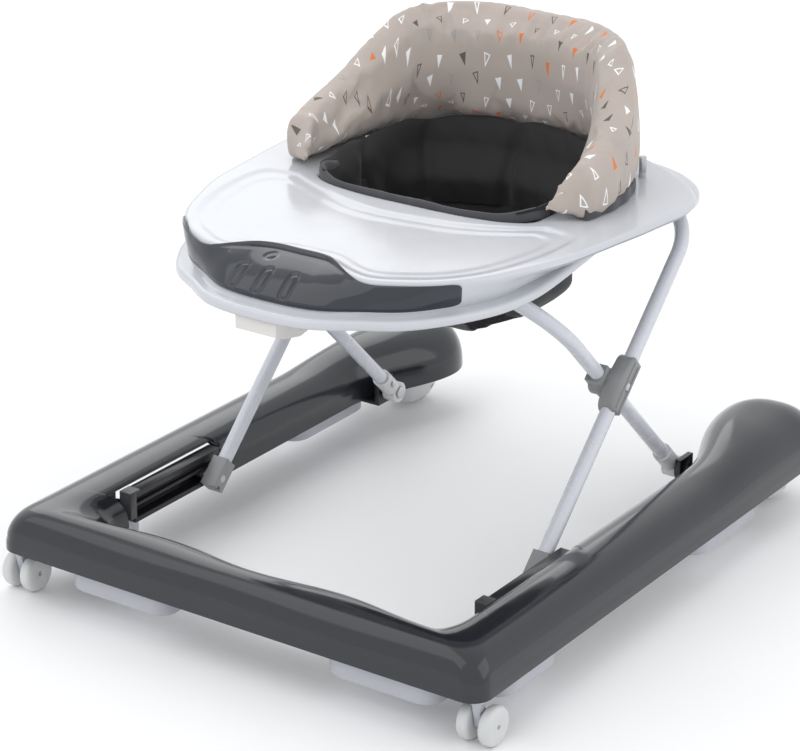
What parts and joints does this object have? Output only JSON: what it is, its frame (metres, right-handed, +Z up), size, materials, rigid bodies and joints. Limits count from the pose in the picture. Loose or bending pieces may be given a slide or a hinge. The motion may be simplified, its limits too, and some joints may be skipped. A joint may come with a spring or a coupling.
{
  "type": "baby walker",
  "caption": "Baby walker with a U-shaped wheeled base, a folding scissor frame of bent tubes, a tray and a padded sling seat.",
  "frame": {"origin": "on the floor, in the middle of the base", "axes": "+Y from the front of the base to the rear, +X to the right seen from the front, +Z up"},
  "size_m": [0.61, 0.732, 0.546],
  "materials": {
    "shell": "gloss",
    "pad": "matte",
    "caster": "satin",
    "clamp": "fine texture",
    "tube": "gloss paint",
    "tray": "gloss",
    "panel": "gloss",
    "latch": "satin",
    "rail": "matte",
    "steel": "zinc plated",
    "print_fabric": "woven, padded",
    "lining": "quilted",
    "binding": "bound edge"
  },
  "bodies": {
    "base": {"base_shell": "shell", "pad_front_left": "pad", "pad_front_right": "pad", "pad_side_front_left": "pad", "pad_side_front_right": "pad", "pad_side_rear_left": "pad", "pad_side_rear_right": "pad", "base_screws": "steel", "slide_rail_left": "rail", "slide_rail_right": "rail", "rail_stop_left": "clamp", "rail_stop_right": "clamp", "pivot_bracket_left": "rail", "pivot_bracket_right": "rail", "pivot_pins": "steel", "rear_housing_left": "caster", "rear_housing_right": "caster", "rear_axles": "steel", "caster_socket_left": "caster", "caster_socket_right": "caster"},
    "caster_left": {"caster_fork_left": "pad", "caster_axle_left": "steel"},
    "caster_right": {"caster_fork_right": "pad", "caster_axle_right": "steel"},
    "disc_left_outer": {"caster_disc_left_outer": "caster"},
    "disc_left_inner": {"caster_disc_left_inner": "caster"},
    "disc_right_outer": {"caster_disc_right_outer": "caster"},
    "disc_right_inner": {"caster_disc_right_inner": "caster"},
    "wheel_rear_left": {"rear_wheel_left": "pad"},
    "wheel_rear_right": {"rear_wheel_right": "pad"},
    "pivot_frame": {"pivot_frame_tube": "tube", "frame_foot_left": "caster", "frame_foot_right": "caster", "foot_screws": "steel", "crossing_sleeve_left": "clamp", "crossing_sleeve_right": "clamp"},
    "slide_frame": {"slide_frame_tube": "tube", "slide_cap_left": "clamp", "slide_cap_right": "clamp", "slide_pins": "steel", "crossing_cover_left": "clamp", "crossing_cover_right": "clamp", "crossing_rivets": "steel"},
    "tray": {"tray_top": "tray", "front_panel": "panel", "latch_housing": "latch", "latch_pin": "steel", "front_guide_left": "latch", "front_guide_right": "latch", "rear_bracket_left": "latch", "rear_bracket_right": "latch", "tray_screws": "steel", "backrest_board": "clamp", "backrest_pad": "print_fabric", "seat_sling": "lining", "seat_binding": "binding", "backrest_clips": "tray"},
    "latch": {"latch_lever": "clamp"}
  },
  "joints": [
    {"name": "fold", "type": "hinge", "parent": "base", "child": "pivot_frame", "pos_m": [0, 0.194, 0.065], "axis": [1, 0, 0], "range_deg": [0, 30.5]},
    {"name": "crossing", "type": "hinge", "parent": "pivot_frame", "child": "slide_frame", "pos_m": [0, 0.03851, 0.2178], "axis": [1, 0, 0], "range_deg": [-61, 0]},
    {"name": "tray_pivot", "type": "hinge", "parent": "slide_frame", "child": "tray", "pos_m": [0, 0.194, 0.3706], "axis": [1, 0, 0], "range_deg": [0, 30.5]},
    {"name": "latch_press", "type": "hinge", "parent": "tray", "child": "latch", "pos_m": [0, -0.276, 0.348], "axis": [1, 0, 0], "range_deg": [0, 12], "stiffness_Nm_per_rad": 0.05},
    {"name": "swivel_left", "type": "hinge", "parent": "base", "child": "caster_left", "pos_m": [-0.286, -0.348, 0.06], "axis": [0, 0, 1], "continuous": true},
    {"name": "swivel_right", "type": "hinge", "parent": "base", "child": "caster_right", "pos_m": [0.286, -0.348, 0.06], "axis": [0, 0, 1], "continuous": true},
    {"name": "spin_left_outer", "type": "hinge", "parent": "caster_left", "child": "disc_left_outer", "pos_m": [-0.286, -0.338, 0.0205], "axis": [1, 0, 0], "continuous": true},
    {"name": "spin_left_inner", "type": "hinge", "parent": "caster_left", "child": "disc_left_inner", "pos_m": [-0.286, -0.338, 0.0205], "axis": [1, 0, 0], "continuous": true},
    {"name": "spin_right_outer", "type": "hinge", "parent": "caster_right", "child": "disc_right_outer", "pos_m": [0.286, -0.338, 0.0205], "axis": [1, 0, 0], "continuous": true},
    {"name": "spin_right_inner", "type": "hinge", "parent": "caster_right", "child": "disc_right_inner", "pos_m": [0.286, -0.338, 0.0205], "axis": [1, 0, 0], "continuous": true},
    {"name": "spin_rear_left", "type": "hinge", "parent": "base", "child": "wheel_rear_left", "pos_m": [-0.243, 0.322, 0.02], "axis": [1, 0, 0], "continuous": true},
    {"name": "spin_rear_right", "type": "hinge", "parent": "base", "child": "wheel_rear_right", "pos_m": [0.243, 0.322, 0.02], "axis": [1, 0, 0], "continuous": true}
  ],
  "couplings": [
    {"joint": "crossing", "follows": "fold", "ratio": -2},
    {"joint": "tray_pivot", "follows": "fold", "ratio": 1}
  ]
}
